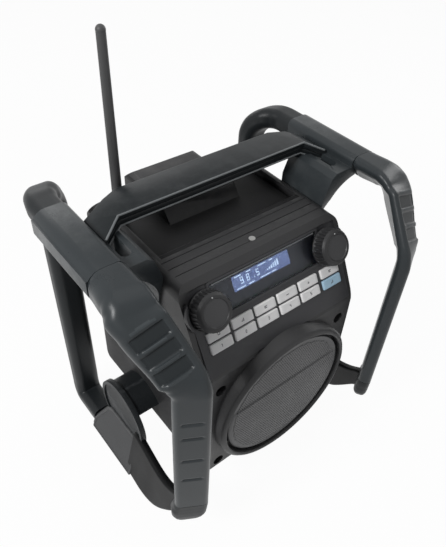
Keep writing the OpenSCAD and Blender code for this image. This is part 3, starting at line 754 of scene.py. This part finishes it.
loopPieces = {   # rows, step, relief, finishes and node
    # the front grip's second finish paints shade into its sunk panels and grooves, its third paints highlight
    # on its raised ridges
    "FrontGripSkin": (gripRows, 0.9, gripRelief, ["cageRubber", "gripPanel", "gripRidge"], "_front_grip"),
    "FootCapSkin": (capRows, 1.5, None, ["cageDark"], "_foot_cap"),
    "RearArmSkin": (rearRows, 2.2, None, ["cageDark"], "_rear_arm")}
for side, sign in sides.items():
    addPiece(side + "BottomRailBlade", makeRail(sign), ["railDark"], [side + "_bottom_rail"],
             smoothAngle=loopSet["smooth"])
    addPiece(side + "FootPlate", makeFootPlate(sign), ["plateGrey"], [side + "_foot_block"], smoothAngle=20,
             extra=True)
for side, sign in sides.items():
    for name, (rows, step, relief, mats, node) in loopPieces.items():
        addPiece(side + name, loft(rows, step, sign, relief), mats, [side + node],
                 smoothAngle=loopSet["smooth"])
print("loops are made")


# pale beads that paint the highlight lines along the carrying bar's front edges
handleHighlightBeads = {  # along the two front edges of the carrying bar
    "handleUpperBead": [(-112, 3.2, 291.6), (-95, 14.2, 299.4), (95, 14.2, 299.4), (112, 3.2, 291.6)],
    "handleLowerBead": [(-112, 4.6, 281.4), (-93, 15.3, 289.0), (93, 15.3, 289.0), (112, 4.6, 281.4)]}
beadRadius = 0.9


def sweep(points, radius, count=10):
    # a round bead along straight runs, in mm
    bm = bmesh.new()
    points = [Vector(p) for p in points]
    rings = []
    for i, p in enumerate(points):
        before = (p - points[max(i - 1, 0)]).normalized()
        after = (points[min(i + 1, len(points) - 1)] - p).normalized()
        turn = (before + after).to_track_quat("Z", "Y")
        ring = []
        for k in range(count):
            a = 2 * math.pi * k / count
            around = Vector((radius * math.cos(a), radius * math.sin(a), 0))
            ring.append(bm.verts.new((p + turn @ around) * mm))
        rings.append(ring)
    bridge(bm, rings)
    bm.faces.new(rings[0][::-1])
    bm.faces.new(rings[-1])
    return bm


for name, points in handleHighlightBeads.items():
    addPiece(name, sweep(points, beadRadius), ["edgeBead"], ["handle_bar"], extra=True)

panelOrigin = Vector((0, -63.4, 224.8))
panelTilt = 60
panelTurn = Matrix.Rotation(math.radians(panelTilt), 4, "X")
toPanel = Matrix.Scale(mm, 4) @ Matrix.Translation(panelOrigin) @ panelTurn

knobSet = {   # skirt rows are measured from the radius and the foot, shoulder rows from the radius and the top
    "x": 65, "y": 17.5, "rise": 1.5, "radius": 16.5, "height": 14, "ribs": 30, "ribDepth": 0.75,
    "ribPoints": 12, "ribFoot": (2.2, 3.0), "ribTop": (3.4, 2.6), "ribEdge": (0.35, 0.75),
    "skirt": ((-4, 0.0), (0.2, 0.0), (0.35, 0.3), (0.35, 1.6), (-0.1, 2.1)),
    "wallOut": 0.25, "wallDraw": 0.9, "wallFoot": 2.4, "wallCut": 5.2, "wallSteps": 8,
    "shoulder": ((-1.3, -2.2), (-2.0, -1.0), (-3.0, -0.25), (-4.2, 0)),
    "dish": 0.9, "dishRadius": 11.2, "dishRound": 0.35, "dishLip": 0.3, "dishSag": 0.25, "dishSteps": 6,
    "faceDepth": 3, "markHalf": 0.55, "markIn": 0.8, "markOut": 3.4, "markSink": 0.1, "markRise": 0.12,
    "markCorner": 0.3}
keySet = {   # rim rows are inset and depth below the top; columns count from the left
    "width": 21.6, "height": 8.6, "rise": 1.8, "pitch": 24.4, "rowPitch": 10.4, "columns": 6, "shift": -0.3,
    "lastShift": 1.4, "corner": 1.0, "cornerLoss": 0.4, "cornerLeast": 0.5, "cornerSteps": 5, "skirt": -3.1,
    "rims": ((0.0, -0.75), (0.12, -0.4), (0.38, -0.14), (0.75, 0)), "crown": 0.35, "dish": 0.7,
    "dishRings": (0.75, 0.5, 0.25), "markSize": 1.35, "markSink": 0.05, "markRise": 0.16}
slabSteps = 4   # points round each corner of a rounded bar


def spin(profile, count, wave=None):
    # turns a list of (radius, height) round local Z; wave changes the radius by angle
    bm = bmesh.new()
    rings = []
    for r, z in profile:
        if r == 0:                        # a pole
            rings.append([bm.verts.new((0, 0, z))])
            continue
        ring = []
        for i in range(count):
            a = 2 * math.pi * i / count
            k = r + (wave(a, z) if wave else 0.0)
            ring.append(bm.verts.new((k * math.cos(a), k * math.sin(a), z)))
        rings.append(ring)
    for a, b in zip(rings, rings[1:]):
        for i in range(count):
            j = (i + 1) % count
            if len(a) == 1 and len(b) == 1:
                continue
            if len(a) == 1:
                bm.faces.new((a[0], b[i], b[j]))
            elif len(b) == 1:
                bm.faces.new((a[i], a[j], b[0]))
            else:
                bm.faces.new((a[i], a[j], b[j], b[i]))
    return bm


def slab(bm, x0, y0, x1, y1, z0, z1, mat=0, corner=0.0):
    # a thin rounded bar in local panel coordinates, for print and screen marks
    points = []
    steps = slabSteps if corner > 0 else 1
    for cx, cy, start in ((x1, y1, 0), (x0, y1, 90), (x0, y0, 180), (x1, y0, 270)):
        ox = cx - math.copysign(corner, cx - (x0 + x1) / 2)
        oy = cy - math.copysign(corner, cy - (y0 + y1) / 2)
        for i in range(steps):
            a = math.radians(start + 90 * i / max(steps - 1, 1))
            points.append((ox + corner * math.cos(a), oy + corner * math.sin(a)))
    lower = [bm.verts.new((*p, z0)) for p in points]
    upper = [bm.verts.new((*p, z1)) for p in points]
    faces = [bm.faces.new(upper), bm.faces.new(lower[::-1])]
    for i in range(len(points)):
        j = (i + 1) % len(points)
        faces.append(bm.faces.new((lower[i], lower[j], upper[j], upper[i])))
    for f in faces:
        f.material_index = mat


def makeKnob(node, name, x):
    s = knobSet
    r, h = s["radius"], s["height"]
    profile = [(r + out, z) for out, z in s["skirt"]]
    for i in range(s["wallSteps"] + 1):
        profile.append((r + s["wallOut"] - s["wallDraw"] * i / s["wallSteps"],
                        s["wallFoot"] + (h - s["wallCut"]) * i / s["wallSteps"]))
    profile += [(r + out, h + drop) for out, drop in s["shoulder"]]
    floorRadius, floor = s["dishRadius"] - s["dishRound"], h - s["dish"]
    profile += [(s["dishRadius"] + s["dishRound"], h), (s["dishRadius"], h - s["dishLip"])]
    profile.append((floorRadius, floor))
    for i in range(1, s["dishSteps"] + 1):
        part = i / s["dishSteps"]
        profile.append((floorRadius * (1 - part), floor - s["dishSag"] * math.sin(math.pi / 2 * part)))

    def ribs(a, z):
        if z < s["ribFoot"][0] or z > h - s["ribTop"][1]:
            return 0.0
        fade = smoothStep(*s["ribFoot"], z) * (1 - smoothStep(*(h - top for top in s["ribTop"]), z))
        return -s["ribDepth"] * fade * smoothStep(*s["ribEdge"], 0.5 + 0.5 * math.cos(s["ribs"] * a))

    bm = spin(profile, s["ribs"] * s["ribPoints"], ribs)
    for f in bm.faces:
        middle = f.calc_center_median()
        if middle.to_2d().length < s["dishRadius"] and middle.z > h - s["faceDepth"]:
            f.material_index = 1
    slab(bm, -s["markHalf"], s["dishRadius"] + s["markIn"], s["markHalf"], r - s["markOut"],
         h - s["markSink"], h + s["markRise"], 2, s["markCorner"])
    bm.transform(toPanel @ Matrix.Translation((x, s["y"], s["rise"])))
    addPiece(name, bm, ["knobRubber", "knobFace", "printPale"], [node])


makeKnob("volume_knob", "volumeKnobRibbed", -knobSet["x"])
makeKnob("tuning_knob", "tuningKnobRibbed", knobSet["x"])

# marks on the keys and the screen, as bars (x0, y0, x1, y1) about -1 to 1 across the mark
barTop, barMiddle, barBottom = (-0.7, 0.7, 0.7, 1), (-0.7, -0.15, 0.7, 0.15), (-0.7, -1, 0.7, -0.7)
markShapes = {
    "1": [(-0.2, -1, 0.2, 1), (-0.6, 0.45, -0.2, 0.85)],
    "2": [barTop, (0.4, 0.1, 0.7, 0.8), barMiddle, (-0.7, -0.8, -0.4, 0), barBottom],
    "3": [barTop, (0.4, -0.9, 0.7, 0.9), (-0.5, -0.15, 0.5, 0.15), barBottom],
    "4": [(-0.7, 0, -0.4, 1), barMiddle, (0.25, -1, 0.55, 1)],
    "5": [barTop, (-0.7, 0, -0.4, 0.8), barMiddle, (0.4, -0.8, 0.7, 0), barBottom],
    "8": [barTop, (-0.7, -0.9, -0.4, 0.9), (0.4, -0.9, 0.7, 0.9), barMiddle, barBottom],
    "9": [barTop, (-0.7, 0, -0.4, 0.9), (0.4, -0.9, 0.7, 0.9), barMiddle, barBottom],
    ".": [(-0.2, -1, 0.2, -0.6)],
    "dash": [(-1.4, -0.2, 1.4, 0.2)],
    "bars": [(-1.4, -1, -0.9, -0.3), (-0.5, -1, 0, 0.2), (0.4, -1, 0.9, 1)],
    "square": [(-1, 0.6, 1, 0.95), (-1, -0.95, 1, -0.6), (-1, -0.95, -0.65, 0.95), (0.65, -0.95, 1, 0.95)],
    "lines": [(-1.4, 0.4, 1.4, 0.75), (-1.4, -0.2, 0.4, 0.15), (-1.4, -0.8, 1.0, -0.45)],
    "plus": [(-0.9, -0.2, 0.9, 0.2), (-0.2, -0.9, 0.2, 0.9)],
}
keyMarks = {(0, 0): "square", (1, 0): "bars", (2, 0): "lines", (3, 0): "dash", (4, 0): "plus", (5, 0): "lines",
            (0, 1): "1", (1, 1): "2", (2, 1): "3", (3, 1): "4", (4, 1): "5", (5, 1): "bars"}


def stamp(bm, shape, cx, cy, size, z0, z1, mat, stretch=0.8):
    for x0, y0, x1, y1 in markShapes[shape]:
        slab(bm, cx + x0 * size * stretch, cy + y0 * size, cx + x1 * size * stretch, cy + y1 * size,
             z0, z1, mat)


def makeKey(column, row):
    s = keySet
    node = f"button_{column + 1}_{('upper', 'lower')[row]}"
    halfW, halfH = s["width"] / 2, s["height"] / 2
    bm = bmesh.new()
    # rings from the hidden skirt up over the softened rim
    rims = [(0.0, s["skirt"])] + [(inset, s["rise"] + drop) for inset, drop in s["rims"]]
    rings = []
    for inset, z in rims:
        ring = []
        w, h = halfW - inset, halfH - inset
        r = max(s["corner"] - inset * s["cornerLoss"], s["cornerLeast"])
        for qx, qy, start in ((1, 1, 0), (-1, 1, 90), (-1, -1, 180), (1, -1, 270)):
            for i in range(s["cornerSteps"] + 1):
                a = math.radians(start + 90 * i / s["cornerSteps"])
                place = (qx * (w - r) + r * math.cos(a), qy * (h - r) + r * math.sin(a), z)
                ring.append(bm.verts.new(place))
        rings.append(ring)
    bridge(bm, rings)
    bm.faces.new(rings[0][::-1])
    top = rings[-1]
    # dished top: rings shrinking to the middle
    last = top
    for k in s["dishRings"]:
        z = s["rise"] - s["crown"] * (1 - k * k) * s["dish"]
        ring = [bm.verts.new((v.co.x * k, v.co.y * k, z)) for v in top]
        bridge(bm, [last, ring])
        last = ring
    bm.faces.new(last)
    level = s["rise"] - s["crown"] * s["dish"] - s["markSink"]
    stamp(bm, keyMarks[column, row], 0, 0, s["markSize"], level, level + s["markRise"], 1)
    lastColumn = column == s["columns"] - 1
    x = (column - (s["columns"] - 1) / 2) * s["pitch"] + (s["lastShift"] if lastColumn else s["shift"])
    bm.transform(toPanel @ Matrix.Translation((x, -halfH - row * s["rowPitch"], 0)))
    base = "keyBlue" if lastColumn and row == 1 else "keyRubber"
    addPiece(f"key{column + 1}{('Upper', 'Lower')[row]}", bm, [base, "printDark"], [node], smoothAngle=50)


for column in range(keySet["columns"]):
    for row in range(2):
        makeKey(column, row)


screenSet = {
    "lit": (-34, 17.6, 26, 30.4), "litBack": -3.7, "litFront": -3.1, "litCorner": 0.6, "print": 0.05,
    "mask": (-56.5, 8, 56.5, 34), "maskBack": -5.2, "maskFront": -3.72, "maskCorner": 1.0,
    "number": "98.5", "numberLeft": -25, "numberY": 24.6, "numberSize": 2.9, "numberStretch": 0.72,
    "pointStep": 3.8, "digitStep": 6.4,
    "bars": 6, "firstBar": (1, 22.0, 2.5, 22.9), "barPitch": 2.3, "barGrow": 0.9,
    "tagWidths": (9, 6, 11, 5), "tagLeft": -31.5, "tagPitch": 12.2, "upperTags": (28.7, 29.6),
    "upperShare": 0.8, "lowerTags": (18.5, 19.4)}


def makeScreen():
    s = screenSet
    bm = bmesh.new()
    slab(bm, *s["mask"], s["maskBack"], s["maskFront"], 1, s["maskCorner"])
    slab(bm, *s["lit"], s["litBack"], s["litFront"], 0, s["litCorner"])
    z0, z1 = s["litFront"], s["litFront"] + s["print"]
    x = s["numberLeft"]
    for ch in s["number"]:                # a plain number, as any tuner shows
        stamp(bm, ch, x, s["numberY"], s["numberSize"], z0, z1, 2, s["numberStretch"])
        x += s["pointStep"] if ch == "." else s["digitStep"]
    left, bottom, right, top = s["firstBar"]
    for i in range(s["bars"]):            # rising level bars
        shift = i * s["barPitch"]
        slab(bm, left + shift, bottom, right + shift, top + i * s["barGrow"], z0, z1, 2)
    for i, width in enumerate(s["tagWidths"]):   # small status marks along the top and bottom
        x = s["tagLeft"] + i * s["tagPitch"]
        low, high = s["upperTags"]
        slab(bm, x, low, x + width * s["upperShare"], high, z0, z1, 2)
        low, high = s["lowerTags"]
        slab(bm, x, low, x + width, high, z0, z1, 2)
    bm.transform(toPanel)
    addPiece("displayScreen", bm, ["screenBlue", "maskBlack", "screenPale"], ["display_module"])


makeScreen()
# a pale bead along the window's top edge: a painted highlight line
lipSet = {"ends": (-55, 55), "y": 33.6, "z": -0.1, "radius": 0.8}
lipLine = [panelTurn @ Vector((x, lipSet["y"], lipSet["z"])) + panelOrigin for x in lipSet["ends"]]
addPiece("windowLip", sweep(lipLine, lipSet["radius"]), ["edgeBead"], ["control_panel"], extra=True)
print("control face is made")


grilleSet = {
    "centre": 121, "radius": 67, "border": 4.5, "pitch": 2.1, "hole": 0.5, "holeTaper": 0.96, "wall": 0.6,
    "front": -94.0, "back": -92.6, "bandTop": 142, "bandBottom": 64, "bandSoft": 0.8, "step": 0.9,
    "spareCells": 4, "rimPoints": 160, "rimLap": 2.6, "rimSink": 0.25, "rimInner": (-1.0, 1.2),
    "rimOuter": ((1.0, 1.1), (0.15, 2.4), (0.15, 7.5))}   # how far inside the radius, and how far back


def makeGrille():
    s = grilleSet
    bm = bmesh.new()
    pitch, hole = s["pitch"], s["hole"]
    deepHole = hole * s["holeTaper"]
    rowStep = pitch * math.sqrt(3) / 2
    cell = pitch / math.sqrt(3)
    reach = s["radius"] - s["border"]
    soft = s["bandSoft"]
    verts = {}

    def level(z):
        # the middle band stands proud of the rest
        band = smoothStep(s["bandBottom"] - soft, s["bandBottom"] + soft, z) * (
            1 - smoothStep(s["bandTop"] - soft, s["bandTop"] + soft, z))
        return s["front"] + s["step"] * (1 - band)

    def point(x, z, back=0.0):
        key = (round(x, 3), round(z, 3), back)
        if key not in verts:
            verts[key] = bm.verts.new((x, level(z) + back, z))
        return verts[key]

    rows = int(reach / rowStep) + 1
    for j in range(-rows, rows + 1):
        for i in range(-rows - s["spareCells"], rows + s["spareCells"] + 1):
            cx = i * pitch + (pitch / 2 if j % 2 else 0)
            cz = s["centre"] + j * rowStep
            if math.hypot(cx, cz - s["centre"]) > reach - cell:
                continue
            outer, inner, deep = [], [], []
            for k in range(6):
                a = math.radians(90 + 60 * k)
                outer.append(point(cx + cell * math.cos(a), cz + cell * math.sin(a)))
                inner.append(point(cx + hole * math.cos(a), cz + hole * math.sin(a)))
                deep.append(point(cx + deepHole * math.cos(a), cz + deepHole * math.sin(a), s["wall"]))
            for k in range(6):
                n = (k + 1) % 6
                bm.faces.new((outer[k], outer[n], inner[n], inner[k]))
                bm.faces.new((inner[k], inner[n], deep[n], deep[k]))
    # plain rim round the perforated field, joined to the cells' outer edge by overlap
    inner = [reach - cell - s["rimLap"]] + [reach + out for out in s["rimInner"]]
    rings = []
    for r, back, follows in [(r, s["rimSink"], True) for r in inner] + [
            (s["radius"] - inset, back, False) for inset, back in s["rimOuter"]]:
        ring = []
        for i in range(s["rimPoints"]):
            a = 2 * math.pi * i / s["rimPoints"]
            x, z = r * math.cos(a), s["centre"] + r * math.sin(a)
            y = (level(z) if follows else s["front"]) + back
            ring.append(bm.verts.new((x, y, z)))
        rings.append(ring)
    bridge(bm, rings)
    bm.transform(Matrix.Scale(mm, 4))
    return bm


# radius and place along the axis
bezelSet = {"points": 180, "profile": (
    (64, 70), (64, 86), (69.5, 86), (69.5, 94.0), (69.9, 95.2), (71.0, 95.9), (72.4, 95.6), (74.2, 93.9),
    (75, 92.2), (75, 70))}
clothSet = {"points": 96, "gap": 1.4, "profile": ((0, 0), (30, 0), (61, 0), (62, 0.6), (62, 3), (0, 3))}


def makeBezel():
    bm = spin(bezelSet["profile"], bezelSet["points"])
    bm.transform(Matrix.Scale(mm, 4) @ Matrix.Translation((0, 0, grilleSet["centre"]))
                 @ Matrix.Rotation(math.radians(90), 4, "X"))
    return bm


def makeGrilleCloth():
    # dark cloth behind the perforations
    bm = spin(clothSet["profile"], clothSet["points"])
    y = grilleSet["back"] + clothSet["gap"]
    bm.transform(Matrix.Scale(mm, 4) @ Matrix.Translation((0, y, grilleSet["centre"]))
                 @ Matrix.Rotation(math.radians(-90), 4, "X"))
    return bm


addPiece("speakerBezelRing", makeBezel(), ["housing"], ["speaker_bezel"], smoothAngle=40)
addPiece("grillePlate", makeGrille(), ["grilleCoat"], ["speaker_grille"], smoothAngle=40)
addPiece("grilleCloth", makeGrilleCloth(), ["conePaper"], ["speaker_grille"])
print("speaker is made")
